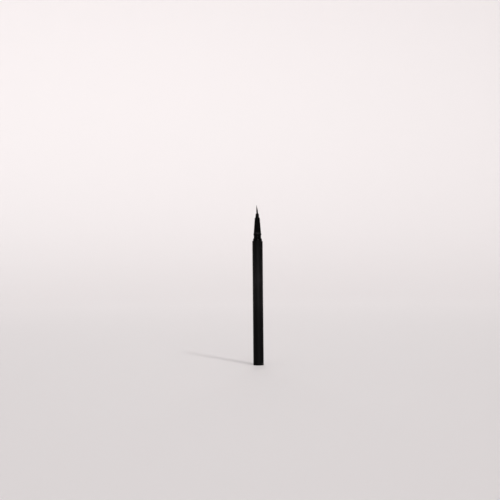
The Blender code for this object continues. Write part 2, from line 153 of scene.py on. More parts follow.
BARREL_BASE, BARREL_TOP = (corner.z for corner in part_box("barrel"))
BARREL_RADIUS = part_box("barrel")[1].x
BORE_RADIUS = min(point.x for point in outline_of("barrel"))
SECTION_BASE, SECTION_TOP = (corner.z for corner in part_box("front_section"))
BRISTLE_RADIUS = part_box("brush_tip")[1].x
BRISTLE_POINT = outline_of("brush_tip")[1]
FLEX_HEIGHT = joint_height("brush_flex")
ROOT_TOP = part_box("brush_root")[1].z
COLLECTOR_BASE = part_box("collector")[0].z
CORE_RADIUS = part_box("relay_core")[1].x
RING_LOW, RING_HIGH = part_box("sealing_ring")
BALL_RADIUS = (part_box("mixing_ball_1")[1].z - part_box("mixing_ball_1")[0].z) / 2


# Settings that a user would change


def length(name, description, default):
    return bpy.props.FloatProperty(
        name=name, description=description, default=default, unit="LENGTH", precision=6
    )


def count(name, description, default):
    return bpy.props.IntProperty(name=name, description=description, default=default, min=1)


def share(name, description, default):
    return bpy.props.FloatProperty(
        name=name, description=description, default=default, subtype="FACTOR", min=0
    )


def colour(name, description, default):
    return bpy.props.FloatVectorProperty(
        name=name, description=description, default=default, subtype="COLOR", min=0, max=1
    )


class EyelinerShape(bpy.types.PropertyGroup):
    """Fineness of the pieces, and the build of the brush."""

    steps: count("Steps", "Faces round each turned piece", 144)
    edge_round: length("Edge round", "How far a sharp moulded edge is rounded", 0.06 * MM)
    bristles: count("Bristles", "Strands in the brush", 420)
    bristle_radius: length("Bristle radius", "Radius of one strand at its root", 0.036 * MM)
    bristle_sides: count("Bristle sides", "Sides of one strand", 5)
    bristle_rows: count("Bristle rows", "Faces along one strand", 18)
    bristle_lean: length("Bristle lean", "How far the brush's point leans to the left", 0.6 * MM)
    shortest_share: share("Shortest bristle", "Its length, as a share of the longest one's", 0.55)
    swell_share: share("Swell", "How far the brush swells past a straight cone", 0.25)
    clumping: length("Clumping", "How far clumps of strands stray aside", 0.25 * MM)
    seed: count("Seed", "Changes the lengths of the strands", 7)
    fibre_depth: length("Fibre depth", "Depth of the fibres' relief on felt pieces", 0.03 * MM)


class EyelinerFinish(bpy.types.PropertyGroup):
    """Colours of the materials, and the scale of their grain."""

    satin: colour("Satin black", "Soft-touch black of the barrel", (0.001, 0.00095, 0.001))
    gloss: colour("Gloss black", "Black of the front section", (0.0006, 0.0006, 0.0006))
    # This lighter black is also the colour of the painted highlight on the barrel and the painted glint on the
    # bead
    worn: colour("Worn black", "Black where it is rubbed or smudged", (0.02, 0.019, 0.02))
    ink: colour("Liquid", "The liquid where it wets a surface", slot_colour("inked_bristle"))
    soaked: colour("Soaked felt", "Fibres full of liquid", slot_colour("inked_felt"))
    felt: colour("Clean felt", "Dry bonded fibres", slot_colour("clean_felt"))
    comb: colour("Collector", "Natural plastic of the comb", slot_colour("collector_plastic"))
    rubber: colour("Rubber", "Rubber of the sealing ring", slot_colour("seal_rubber"))
    steel: colour("Steel", "Polished steel of the mixing balls", slot_colour("ball_steel"))
    grain_size: length("Grain size", "Width of the soft-touch coat's grain", 0.09 * MM)


class EyelinerStage(bpy.types.PropertyGroup):
    """Camera, floor and lamps."""

    lens: bpy.props.FloatProperty(
        name="Lens", description="Focal length", default=85, unit="CAMERA"
    )
    distance: length("Camera distance", "From the camera to the pen", 1003 * MM)
    height: length("Camera height", "Height of the level camera", 97.8 * MM)
    aside: length("Camera aside", "How far right of the pen the camera stands", -6.4 * MM)
    roll: bpy.props.FloatProperty(
        name="Camera roll",
        description="Turn about the line of sight",
        default=math.radians(0.515),
        subtype="ANGLE",
    )
    floor_radius: length("Floor radius", "Half the width of the round floor", 2200 * MM)
    floor_colour: colour("Floor colour", "Pale floor and backdrop", (0.78, 0.74, 0.74))
    world_level: share("World", "Brightness of the light from all round", 0.2)
    key_lamp: share("Key lamp", "Brightness that it alone gives a white surface facing it", 0.42)
    side_lamp: share("Side lamp", "The same for the small, high lamp that draws glints", 0.26)
    back_lamp: share("Back lamp", "The same for the lamp behind", 0.32)
    top_lamp: share("Top lamp", "The same for the lamp overhead", 0.28)


# Node trees


class Wire:
    """What leaves one socket of a node. Sums with it add Math nodes."""

    def __init__(self, graph, socket):
        self.graph = graph
        self.socket = socket

    def __add__(self, other):
        return self.graph.math("ADD", self, other)

    def __sub__(self, other):
        return self.graph.math("SUBTRACT", self, other)

    def __rsub__(self, other):
        return self.graph.math("SUBTRACT", other, self)

    def __mul__(self, other):
        return self.graph.math("MULTIPLY", self, other)

    def __truediv__(self, other):
        return self.graph.math("DIVIDE", self, other)

    def __pow__(self, other):
        return self.graph.math("POWER", self, other)

    __radd__ = __add__
    __rmul__ = __mul__

    def at_least(self, other):
        return self.graph.math("MAXIMUM", self, other)

    def fade(self, start, end):
        """0 at the start and 1 at the end, smooth between them."""
        settings = {"interpolation_type": "SMOOTHSTEP"}
        inputs = {"Value": self, "From Min": start, "From Max": end}
        return self.graph.add("ShaderNodeMapRange", settings, inputs)

    def near(self, centre, reach):
        """1 at a value and 0 further from it than the reach."""
        return self.graph.math("ABSOLUTE", self - centre).fade(reach, 0.0)


def find_socket(sockets, key):
    """A socket by its number, or the one in use that has a name."""
    if isinstance(key, int):
        return sockets[key]
    return next(socket for socket in sockets if socket.name == key and socket.enabled)


SOFT, BROKEN, FIBROUS = 2.0, 3.0, 4.0  # how detailed a noise is
NOISE_MIDDLE = 0.5


class Graph:
    """The nodes of a material or of a shape tree while they are being wired."""

    def __init__(self, tree):
        self.tree = tree

    def add(self, kind, settings=None, inputs=None, output=0):
        """Adds a node: its settings first, then the values or links of its sockets."""
        node = self.tree.nodes.new(kind)
        for name, value in (settings or {}).items():
            setattr(node, name, value)
        for key, value in (inputs or {}).items():
            socket = find_socket(node.inputs, key)
            if isinstance(value, (Wire, list)):
                for wire in value if isinstance(value, list) else [value]:
                    self.tree.links.new(wire.socket, socket)
            else:
                socket.default_value = value
        return Wire(self, find_socket(node.outputs, output)) if len(node.outputs) else None

    def math(self, operation, *values):
        return self.add("ShaderNodeMath", {"operation": operation}, dict(enumerate(values)))

    def vector_math(self, operation, *values, **named):
        inputs = {**dict(enumerate(values)), **named}
        return self.add("ShaderNodeVectorMath", {"operation": operation}, inputs)

    def vector(self, x, y, z):
        return self.add("ShaderNodeCombineXYZ", inputs={"X": x, "Y": y, "Z": z})

    def axes(self, vector):
        node = self.add("ShaderNodeSeparateXYZ", inputs={"Vector": vector}).socket.node
        return [Wire(self, socket) for socket in node.outputs]

    def noise(self, place, size, detail=SOFT):
        """Noise whose features have a size, or a size along each axis."""
        size = size if isinstance(size, (Wire, Vector)) else (size, size, size)
        spread = self.vector_math("DIVIDE", place, size)
        inputs = {"Vector": spread, "Scale": 1.0, "Detail": detail}
        return self.add("ShaderNodeTexNoise", inputs=inputs)

    def place(self):
        return self.add("ShaderNodeTexCoord", output="Object")

    def mix(self, factor, first, second):
        """One colour over another."""
        inputs = {"Factor": factor, "A": as_colour(first), "B": as_colour(second)}
        return self.add("ShaderNodeMix", {"data_type": "RGBA"}, inputs, "Result")

    def bump(self, height, depth):
        inputs = {"Strength": 1.0, "Distance": depth, "Height": height}
        return self.add("ShaderNodeBump", inputs=inputs)


def as_colour(value):
    return value if isinstance(value, Wire) else (*value, 1.0)


def make_material(look):
    """The material whose look returns the sockets of its Principled shader. It is made once."""
    made = bpy.data.materials.get(look.__name__)
    if made:
        return made
    made = bpy.data.materials.new(look.__name__)
    made.use_nodes = True
    made.node_tree.nodes.clear()
    graph = Graph(made.node_tree)
    shader = graph.add("ShaderNodeBsdfPrincipled", inputs=look(graph))
    graph.add("ShaderNodeOutputMaterial", inputs={"Surface": shader})
    return made


# Materials
#
# A mark is a noise within a band: it starts to show at the band's first value and shows fully at
# its second. Its SHADE is how much of its colour it gives, DULLING how much rougher it makes the
# surface, POLISH how much smoother, and RELIEF its part in the bump, which is as deep as DEPTH.


GRIP_AND_HIGHLIGHT_HEIGHT = 67 * MM  # middle of the grip, where fingers have polished the coat most and a highlight is painted into its colour
GRIP_AND_HIGHLIGHT_REACH = 38 * MM
# The next two lighten the colour of the grip band: a painted highlight, mixed with smudges from handling
PAINTED_HIGHLIGHT_SHADE = 0.16
GRIP_SMUDGE_AND_HIGHLIGHT_SHADE = 0.2
GRIP_POLISH = 0.2
GRAIN_BAND = (0.5, 0.7)
GRAIN_SHADE = 0.05
GRAIN_DEPTH = 0.016 * MM
DRAWN_LINE_SIZE = Vector((0.25, 0.25, 40)) * MM
DRAWN_LINE_BAND = (0.55, 0.75)
DRAWN_LINE_SHADE = 0.08
DRAWN_LINE_DULLING = 0.06
DRAWN_LINE_RELIEF = 0.5
SMUDGE_SIZE = Vector((6, 6, 15)) * MM
SMUDGE_BAND = (0.45, 0.75)
SMUDGE_SHADE = 0.06
SMUDGE_DULLING = 0.08
RIM_WEAR_REACH = 0.5 * MM
WEAR_SPOT_SIZE = 0.6 * MM
WEAR_BAND = (0.5, 0.65)
WEAR_SHADE = 0.5
WEAR_POLISH = 0.14
BORE_ZONE = 0.3 * MM  # how far past the bore's radius the wet zone reaches
FILM_SIZE = Vector((1.2, 1.2, 8)) * MM
FILM_BAND = (0.38, 0.55)
FILM_POLISH = 0.36
SATIN_ROUGHNESS = 0.5
SATIN_SPECULAR = 0.055


def satin_black(graph):
    """Soft-touch black: grain, smudges, rubbed rims, wet bore, polished middle with painted highlight."""
    finish = bpy.context.scene.eyeliner_finish
    place = graph.place()
    x, y, z = graph.axes(place)
    radius = (x * x + y * y) ** 0.5
    grain = graph.noise(place, finish.grain_size)
    drawn = graph.noise(place, DRAWN_LINE_SIZE)
    smudge = graph.noise(place, SMUDGE_SIZE, BROKEN).fade(*SMUDGE_BAND)
    rims = z.near(BARREL_TOP, RIM_WEAR_REACH).at_least(z.near(BARREL_BASE, RIM_WEAR_REACH))
    wear = rims * graph.noise(place, WEAR_SPOT_SIZE).fade(*WEAR_BAND)
    wet = radius.fade(BORE_RADIUS + BORE_ZONE, BORE_RADIUS)
    film = wet * graph.noise(place, FILM_SIZE, BROKEN).fade(*FILM_BAND)
    # The grip band is smoother, and its colour is lighter: a painted highlight at mid-height
    grip_and_highlight = z.near(GRIP_AND_HIGHLIGHT_HEIGHT, GRIP_AND_HIGHLIGHT_REACH)
    lines = drawn.fade(*DRAWN_LINE_BAND) * DRAWN_LINE_SHADE
    fine = grain.fade(*GRAIN_BAND) * GRAIN_SHADE + lines
    marks_and_painted_highlight = grip_and_highlight * (PAINTED_HIGHLIGHT_SHADE + smudge * GRIP_SMUDGE_AND_HIGHLIGHT_SHADE) + smudge * SMUDGE_SHADE + fine
    shade = graph.mix(wear * WEAR_SHADE + marks_and_painted_highlight, finish.satin, finish.worn)
    dry = SATIN_ROUGHNESS - grip_and_highlight * GRIP_POLISH + smudge * SMUDGE_DULLING
    return {
        "Base Color": graph.mix(film, shade, finish.ink),
        "Roughness": dry + drawn * DRAWN_LINE_DULLING - wear * WEAR_POLISH - film * FILM_POLISH,
        "Specular IOR Level": SATIN_SPECULAR,
        "Normal": graph.bump((grain + drawn * DRAWN_LINE_RELIEF) * (1 - wet), GRAIN_DEPTH),
    }


FLOW_SIZE = Vector((2, 2, 6)) * MM
FLOW_SHADE = 0.04
FLOW_DULLING = 0.08
FLOW_RELIEF = 0.6
TURNING_SIZE = Vector((1000, 1000, 0.16)) * MM  # rings: the noise is the same all round
TURNING_RELIEF = 0.3
CAP_RUB_SIZE = Vector((0.07, 0.07, 3)) * MM
CAP_RUB_BAND = (0.58, 0.72)
CAP_RUB_SHADE = 0.12
CAP_RUB_DULLING = 0.12
PARTING_WIDTH = 0.05 * MM
MOULD_DEPTH = 0.008 * MM
MOUTH_ZONE = 1.6 * MM  # how far below the nozzle's mouth liquid has run
MOUTH_BAND = (0.35, 0.6)
MOUTH_POLISH = 0.06
GLINT_HEIGHT = BARREL_TOP + 6.6 * MM  # on the bead's upper side, where a glint is painted as a lighter band
GLINT_REACH = 0.9 * MM
PAINTED_GLINT_SHADE = 0.1
PAINTED_GLINT_FLOW_SHADE = 0.8
MATT_STARTS = GLINT_HEIGHT  # above it a cap doesn't polish the moulding
MATT_FULL = MATT_STARTS + 1 * MM
MATT_DULLING = 0.5
GLOSS_ROUGHNESS = 0.12
GLOSS_SPECULAR = 0.03


def gloss_black(graph):
    """Black moulding, matt taper: flow marks, rings, parting line, cap rubs, painted bead glint, wet mouth."""
    finish = bpy.context.scene.eyeliner_finish
    place = graph.place()
    _, y, z = graph.axes(place)
    flow = graph.noise(place, FLOW_SIZE, BROKEN)
    rings = graph.noise(place, TURNING_SIZE)
    rubs = graph.noise(place, CAP_RUB_SIZE).fade(*CAP_RUB_BAND) * z.fade(SECTION_TOP, SECTION_BASE)
    parting = y.near(0.0, PARTING_WIDTH)
    drops = graph.noise(place, WEAR_SPOT_SIZE).fade(*MOUTH_BAND)
    wet = z.fade(SECTION_TOP - MOUTH_ZONE, SECTION_TOP) * drops
    # A lighter band on the bead's upper side, broken up by the flow marks: a painted glint
    painted_glint = z.near(GLINT_HEIGHT, GLINT_REACH) * (PAINTED_GLINT_SHADE + flow * PAINTED_GLINT_FLOW_SHADE)
    rubs_and_painted_glint = rubs * CAP_RUB_SHADE + flow * FLOW_SHADE + painted_glint
    shade = graph.mix(rubs_and_painted_glint, finish.gloss, finish.worn)
    matt = z.fade(MATT_STARTS, MATT_FULL)
    dry = GLOSS_ROUGHNESS + matt * MATT_DULLING + flow * FLOW_DULLING + rubs * CAP_RUB_DULLING
    relief = rings * TURNING_RELIEF + parting + flow * FLOW_RELIEF
    return {
        "Base Color": graph.mix(wet, shade, finish.ink),
        "Roughness": dry - wet * MOUTH_POLISH,
        "Specular IOR Level": GLOSS_SPECULAR,
        "Normal": graph.bump(relief, MOULD_DEPTH),
    }


HAIR_SIZE = Vector((0.08, 0.08, 3)) * MM
HAIR_BAND = (0.4, 0.8)
HAIR_SHADE = 0.25
HAIR_DULLING = 0.12
POOL_SIZE = FILM_SIZE / 4
POOL_BAND = (0.4, 0.65)
POOL_POLISH = 0.22
BRISTLE_ROUGHNESS = 0.42
BRISTLE_SPECULAR = 0.06


def wet_bristles(graph):
    """Nylon strands, some a little lighter, with liquid between them in streaks of gloss."""
    finish = bpy.context.scene.eyeliner_finish
    place = graph.place()
    hairs = graph.noise(place, HAIR_SIZE)
    pool = graph.noise(place, POOL_SIZE).fade(*POOL_BAND)
    return {
        "Base Color": graph.mix(hairs.fade(*HAIR_BAND) * HAIR_SHADE, finish.ink, finish.worn),
        "Roughness": BRISTLE_ROUGHNESS + hairs * HAIR_DULLING - pool * POOL_POLISH,
        "Specular IOR Level": BRISTLE_SPECULAR,
        "Normal": graph.bump(hairs, MOULD_DEPTH),
    }


FELT_SIZE = 0.12 * MM
FELT_BAND = (0.35, 0.65)
FELT_SHADE = 0.35
FELT_DEPTH = FELT_SIZE / 3
FELT_CLUMP_SIZE = FELT_SIZE * 5
FELT_CLUMP_RELIEF = 0.5
FELT_ROUGHNESS = 0.9
FELT_SHEEN = 0.25
STAIN_REACH = 0.9 * MM
STAIN_STARTS = CORE_RADIUS + STAIN_REACH * 1.3
STAIN_FULL = CORE_RADIUS + STAIN_REACH * 0.4
STAIN_POLISH = 0.25


def clean_felt(graph):
    """Off-white bonded fibres, stained where they touch the wet core."""
    finish = bpy.context.scene.eyeliner_finish
    place = graph.place()
    x, y, _ = graph.axes(place)
    radius = (x * x + y * y) ** 0.5
    fibres = graph.noise(place, FELT_SIZE, FIBROUS)
    clumps = graph.noise(place, FELT_CLUMP_SIZE, BROKEN)
    stain = (radius + clumps * STAIN_REACH).fade(STAIN_STARTS, STAIN_FULL)
    cloth = graph.mix(fibres.fade(*FELT_BAND) * FELT_SHADE, finish.felt, finish.soaked)
    return {
        "Base Color": graph.mix(stain, cloth, finish.soaked),
        "Roughness": FELT_ROUGHNESS - stain * STAIN_POLISH,
        "Sheen Weight": FELT_SHEEN,
        "Normal": graph.bump(fibres + clumps * FELT_CLUMP_RELIEF, FELT_DEPTH),
    }


FIBRE_SIZE = Vector((0.05, 0.05, 0.9)) * MM
FIBRE_BAND = (0.55, 0.75)
FIBRE_SHADE = 0.4
FIBRE_DEPTH = FELT_SIZE / 4
DRY_SPOT_SIZE = FELT_SIZE * 8
DRY_SPOT_DULLING = 0.35
SOAKED_ROUGHNESS = 0.45


def soaked_felt(graph):
    """Bonded fibres along the rod, full of black liquid. A few of them catch the light."""
    finish = bpy.context.scene.eyeliner_finish
    place = graph.place()
    fibres = graph.noise(place, FIBRE_SIZE, BROKEN)
    dry = graph.noise(place, DRY_SPOT_SIZE).fade(*FIBRE_BAND)
    return {
        "Base Color": graph.mix(fibres.fade(*FIBRE_BAND) * FIBRE_SHADE, finish.soaked, finish.worn),
        "Roughness": SOAKED_ROUGHNESS + dry * DRY_SPOT_DULLING,
        "Normal": graph.bump(fibres, FIBRE_DEPTH),
    }


CLIMB_REACH = 22 * MM  # how far up the comb from the tank the liquid has stained it
CLIMB_RAGGEDNESS = 0.7
CLIMB_STARTS = COLLECTOR_BASE + CLIMB_REACH
CLIMB_FULL = COLLECTOR_BASE + CLIMB_REACH * 0.45
MOTTLE_SIZE = Vector((1.1, 1.1, 0.7)) * MM
MOTTLE_RELIEF = 0.4
SLIT_STAIN_WIDTH = 0.9 * MM
SLIT_STAIN_BAND = (0.3, 0.55)
SLIT_STAIN_SHADE = 0.9
COMB_FLOW_SHADE = 0.12
COMB_FLOW_DULLING = 0.12
COMB_FILM_POLISH = 0.16
COMB_FILM_COAT = 0.6
COMB_ROUGHNESS = 0.34


def natural_plastic(graph):
    """Plastic without pigment: flow marks, and liquid near the tank and along the slit."""
    finish = bpy.context.scene.eyeliner_finish
    place = graph.place()
    x, y, z = graph.axes(place)
    mottle = graph.noise(place, MOTTLE_SIZE, BROKEN)
    flow = graph.noise(place, FLOW_SIZE)
    climb = (z + mottle * CLIMB_REACH * CLIMB_RAGGEDNESS).fade(CLIMB_STARTS, CLIMB_FULL)
    spots = mottle.fade(*SLIT_STAIN_BAND)
    slit = x.near(0.0, SLIT_STAIN_WIDTH) * y.fade(0.0, -CORE_RADIUS) * spots
    film = climb.at_least(slit * SLIT_STAIN_SHADE)
    plain = graph.mix(flow * COMB_FLOW_SHADE, finish.comb, finish.felt)
    return {
        "Base Color": graph.mix(film, plain, finish.soaked),
        "Roughness": COMB_ROUGHNESS + flow * COMB_FLOW_DULLING - film * COMB_FILM_POLISH,
        "Coat Weight": film * COMB_FILM_COAT,
        "Normal": graph.bump(flow + mottle * MOTTLE_RELIEF, MOULD_DEPTH),
    }


BLOOM_SIZE = 0.35 * MM
BLOOM_BAND = (0.45, 0.75)
BLOOM_SHADE = 0.12
BLOOM_DULLING = 0.2
SMEAR_STARTS = (RING_LOW.z + RING_HIGH.z) / 2 + BLOOM_SIZE
SMEAR_FULL = RING_LOW.z + BLOOM_SIZE
SMEAR_POLISH = 0.3
RUBBER_ROUGHNESS = 0.55


def red_rubber(graph):
    """Dark red rubber with a dusty bloom, smeared with liquid on the tank's side."""
    finish = bpy.context.scene.eyeliner_finish
    place = graph.place()
    z = graph.axes(place)[2]
    bloom = graph.noise(place, BLOOM_SIZE, BROKEN)
    smear = (z + bloom * BLOOM_SIZE).fade(SMEAR_STARTS, SMEAR_FULL)
    dusty = graph.mix(bloom.fade(*BLOOM_BAND) * BLOOM_SHADE, finish.rubber, finish.felt)
    return {
        "Base Color": graph.mix(smear, dusty, finish.ink),
        "Roughness": RUBBER_ROUGHNESS + bloom * BLOOM_DULLING - smear * SMEAR_POLISH,
        "Normal": graph.bump(bloom, MOULD_DEPTH),
    }


SCRATCH_SIZE = Vector((0.03, 0.9, 0.12)) * MM
SCRATCH_BAND = (0.5, 0.7)
SCRATCH_DULLING = 0.14
SCRATCH_DEPTH = MOULD_DEPTH / 4
BALL_FILM_SIZE = WEAR_SPOT_SIZE * 2
BALL_FILM_BAND = (0.52, 0.6)
STEEL_ROUGHNESS = 0.12


def polished_steel(graph):
    """Polished steel with fine scratches from rattling, and a broken film of liquid."""
    finish = bpy.context.scene.eyeliner_finish
    place = graph.place()
    scratches = graph.noise(place, SCRATCH_SIZE).fade(*SCRATCH_BAND)
    film = graph.noise(place, BALL_FILM_SIZE, BROKEN).fade(*BALL_FILM_BAND)
    return {
        "Base Color": graph.mix(film, finish.steel, finish.ink),
        "Metallic": 1 - film,
        "Roughness": STEEL_ROUGHNESS + scratches * SCRATCH_DULLING,
        "Normal": graph.bump(scratches, SCRATCH_DEPTH),
    }


FLOOR_ROUGHNESS = 0.9
FLOOR_SPECULAR = 0.1


def pale_floor(graph):
    """Plain matt floor. It needs no pattern, as it isn't part of the pen."""
    stage = bpy.context.scene.eyeliner_stage
    return {
        "Base Color": as_colour(stage.floor_colour),
        "Roughness": FLOOR_ROUGHNESS,
        "Specular IOR Level": FLOOR_SPECULAR,
    }


# Shape trees


SWAY_SHIFTS = ((0.0, 0.0, 0.0), (9.0, 5.0, 3.0))  # where the sways in X and Y read their noise
CLUMPS_ACROSS = 2.5
CLUMPS_ALONG = 1.6
STRAND_TAPER = 0.85  # how much of its thickness a strand loses by its tip
TAPER_GROWTH = 3  # 1 would be even along the strand, and more comes later along it
LEAN_GROWTH = 1.3


def shape_tree(kinds):
    """A geometry node tree: its graph, and the wires of its named inputs."""
    tree = bpy.data.node_groups.new("Shape", "GeometryNodeTree")
    for label, kind in kinds.items():
        tree.interface.new_socket(label, in_out="INPUT", socket_type="NodeSocket" + kind)
    tree.interface.new_socket("Geometry", in_out="OUTPUT", socket_type="NodeSocketGeometry")
    graph = Graph(tree)
    start = tree.nodes.new("NodeGroupInput")
    return graph, {label: Wire(graph, start.outputs[label]) for label in kinds}


def end_tree(graph, geometry, material):
    real = graph.add("GeometryNodeRealizeInstances", inputs={"Geometry": geometry})
    finished = graph.add("GeometryNodeSetMaterial", inputs={"Geometry": real, "Material": material})
    graph.add("NodeGroupOutput", inputs={"Geometry": finished})
    return graph.tree


def lathe_tree():
    """Turns an outline about the pen's axis. Felt pieces also get the relief of their fibres."""
    kinds = {
        "Geometry": "Geometry",
        "Steps": "Int",
        "Fibre depth": "Float",
        "Fibre size": "Vector",
        "Material": "Material",
    }
    graph, given = shape_tree(kinds)
    outline = given["Geometry"]
    steps = given["Steps"]
    rows = graph.add(
        "GeometryNodeAttributeDomainSize", inputs={"Geometry": outline}, output="Point Count"
    )
    grid = graph.add("GeometryNodeMeshGrid", inputs={"Vertices X": steps + 1, "Vertices Y": rows})
    index = graph.add("GeometryNodeInputIndex")
    position = graph.add("GeometryNodeInputPosition")
    spot = graph.add(
        "GeometryNodeSampleIndex",
        {"data_type": "FLOAT_VECTOR"},
        {"Geometry": outline, "Value": position, "Index": graph.math("MODULO", index, rows)},
    )
    angle = graph.math("FLOOR", index / rows) / steps * -math.tau
    radius, _, height = graph.axes(spot)
    aside, forward = graph.math("COSINE", angle), graph.math("SINE", angle)
    around = graph.vector(radius * aside, radius * forward, height)
    turned = graph.add("GeometryNodeSetPosition", inputs={"Geometry": grid, "Position": around})
    closed = graph.add(
        "GeometryNodeMergeByDistance", inputs={"Geometry": turned, "Distance": TOUCH}
    )
    fibres = (graph.noise(position, given["Fibre size"]) - NOISE_MIDDLE) * given["Fibre depth"]
    outwards = graph.vector_math("SCALE", graph.add("GeometryNodeInputNormal"), Scale=fibres)
    relief = graph.add("GeometryNodeSetPosition", inputs={"Geometry": closed, "Offset": outwards})
    return end_tree(graph, relief, given["Material"])


def comb_tree():
    """Repeats a fin along the pen and joins the fins to the shaft that they stand on."""
    kinds = {
        "Geometry": "Geometry",
        "Fin": "Object",
        "Fin count": "Int",
        "First fin": "Float",
        "Pitch": "Float",
        "Material": "Material",
    }
    graph, given = shape_tree(kinds)
    fin = graph.add("GeometryNodeObjectInfo", inputs={"Object": given["Fin"]}, output="Geometry")
    line = graph.add(
        "GeometryNodeMeshLine",
        inputs={
            "Count": given["Fin count"],
            "Start Location": graph.vector(0.0, 0.0, given["First fin"]),
            "Offset": graph.vector(0.0, 0.0, given["Pitch"]),
        },
    )
    fins = graph.add("GeometryNodeInstanceOnPoints", inputs={"Points": line, "Instance": fin})
    comb = graph.add("GeometryNodeJoinGeometry", inputs={"Geometry": [given["Geometry"], fins]})
    return end_tree(graph, comb, given["Material"])


def plant_strands(graph, given):
    """Upright strands on a sunflower pattern. Each one stores its root, and its share of length."""
    index = graph.add("GeometryNodeInputIndex")
    position = graph.add("GeometryNodeInputPosition")
    bundle = given["Bundle radius"] - given["Bristle radius"]
    ring = ((index + 0.5) / given["Bristles"]) ** 0.5
    turn = index * GOLDEN_ANGLE
    aside, forward = graph.math("COSINE", turn), graph.math("SINE", turn)
    flat = graph.vector(ring * aside * bundle, ring * forward * bundle, 0.0)
    roots = graph.add("GeometryNodePoints", inputs={"Count": given["Bristles"], "Position": flat})
    chance = graph.add(
        "FunctionNodeRandomValue",
        {"data_type": "FLOAT"},
        {"Min": given["Shortest share"], "Max": 1.0, "ID": index, "Seed": given["Seed"]},
        "Value",
    )
    reach = 1 - ring * (1 - chance)
    for name, kind, value in (("root", "FLOAT_VECTOR", position), ("reach", "FLOAT", reach)):
        roots = graph.add(
            "GeometryNodeStoreNamedAttribute",
            {"data_type": kind, "domain": "POINT"},
            {"Geometry": roots, "Name": name, "Value": value},
        )
    strand = graph.add(
        "GeometryNodeMeshCylinder",
        inputs={
            "Vertices": given["Sides"],
            "Side Segments": given["Rows"],
            "Radius": given["Bristle radius"],
            "Depth": 1.0,
        },
    )
    ends = {"Points": roots, "Instance": strand}
    planted = graph.add("GeometryNodeInstanceOnPoints", inputs=ends)
    return graph.add("GeometryNodeRealizeInstances", inputs={"Geometry": planted})


def read_attribute(graph, name, kind):
    settings = {"data_type": kind}
    return graph.add("GeometryNodeInputNamedAttribute", settings, {"Name": name}, "Attribute")


def bristle_tree():
    """Gathers the strands to a point that leans, with clumps that sway aside."""
    kinds = {
        "Bristles": "Int",
        "Sides": "Int",
        "Rows": "Int",
        "Bristle radius": "Float",
        "Bundle radius": "Float",
        "Point radius": "Float",
        "Base height": "Float",
        "Flex height": "Float",
        "Point height": "Float",
        "Lean": "Float",
        "Shortest share": "Float",
        "Swell share": "Float",
        "Clumping": "Float",
        "Seed": "Int",
        "Material": "Material",
    }
    graph, given = shape_tree(kinds)
    strands = plant_strands(graph, given)
    position = graph.add("GeometryNodeInputPosition")
    root = read_attribute(graph, "root", "FLOAT_VECTOR")
    along = graph.axes(position)[2] + 0.5  # 0 at a strand's root and 1 at its tip
    span = given["Point height"] - given["Base height"]
    height = given["Base height"] + along * read_attribute(graph, "reach", "FLOAT") * span
    free_span = given["Point height"] - given["Flex height"]
    climb = ((height - given["Flex height"]) / free_span).at_least(0.0)
    swell = 1 + graph.math("SINE", climb * math.pi) * given["Swell share"]
    cone = (given["Bundle radius"] - given["Point radius"]) * (1 - climb)
    envelope = given["Point radius"] + cone * swell
    gathered = graph.vector_math("SCALE", root, Scale=envelope / given["Bundle radius"])
    section = graph.vector_math("SUBTRACT", position, root)
    thinned = graph.vector_math("SCALE", section, Scale=1 - along**TAPER_GROWTH * STRAND_TAPER)
    x, y, _ = graph.axes(graph.vector_math("ADD", gathered, thinned))
    clumps = graph.math("DIVIDE", CLUMPS_ACROSS, given["Bundle radius"])
    spread = graph.vector_math("SCALE", root, Scale=clumps)
    spot = graph.vector_math("ADD", spread, graph.vector(0.0, 0.0, climb * CLUMPS_ALONG))
    sway = []
    for shift in SWAY_SHIFTS:
        stray = graph.noise(graph.vector_math("ADD", spot, shift), 1.0) - NOISE_MIDDLE
        sway.append(stray * climb * (1 - climb) * given["Clumping"])
    leaning = x + sway[0] - climb**LEAN_GROWTH * given["Lean"]
    shaped = graph.vector(leaning, y + sway[1], height)
    brush = graph.add("GeometryNodeSetPosition", inputs={"Geometry": strands, "Position": shaped})
    return end_tree(graph, brush, given["Material"])


# Making pieces


SHARP_CORNER = math.radians(40)  # corners that turn less are part of a curve
STRAIGHT_CORNER = math.radians(0.3)  # corners that turn less are left out
ROUND_STEP = math.radians(16)  # each facet of a rounded corner turns this far at most
FEWEST_ROUND_STEPS = 2
CREASE = math.radians(38)  # faces that meet at more than this keep a sharp edge


def soften(outline, edge_round):
    """Rounds an outline: shallow corners as far as they go, and sharp ones with a small edge."""
    is_loop = outline[0].x > 0
    rounded = []
    for place, corner in enumerate(outline):
        if not is_loop and place in (0, len(outline) - 1):
            rounded.append(corner)
            continue
        before = corner - outline[place - 1]
        after = outline[(place + 1) % len(outline)] - corner
        turn = before.angle(after)
        if turn < STRAIGHT_CORNER:
            continue
        reach = min(before.length, after.length) / 2
        if turn > SHARP_CORNER:
            reach = min(reach, edge_round)
        start = corner - before.normalized() * reach
        end = corner + after.normalized() * reach
        steps = max(FEWEST_ROUND_STEPS, math.ceil(turn / ROUND_STEP))
        for step in range(steps + 1):
            way = step / steps
            point = start.lerp(corner, way).lerp(corner.lerp(end, way), way)
            if not rounded or (point - rounded[-1]).length > TOUCH:
                rounded.append(point)
    return rounded


def split(outline, longest):
    """Adds points where an outline's straight stretches are longer than a length."""
    fine = []
    for here, after in zip(outline, outline[1:]):
        steps = max(1, math.ceil((after - here).length / longest))
        fine += [here.lerp(after, step / steps) for step in range(steps)]
    return fine + outline[-1:]


def new_object(name, mesh):
    obj = bpy.data.objects.new(name, mesh)
    bpy.context.scene.collection.objects.link(obj)
    return obj


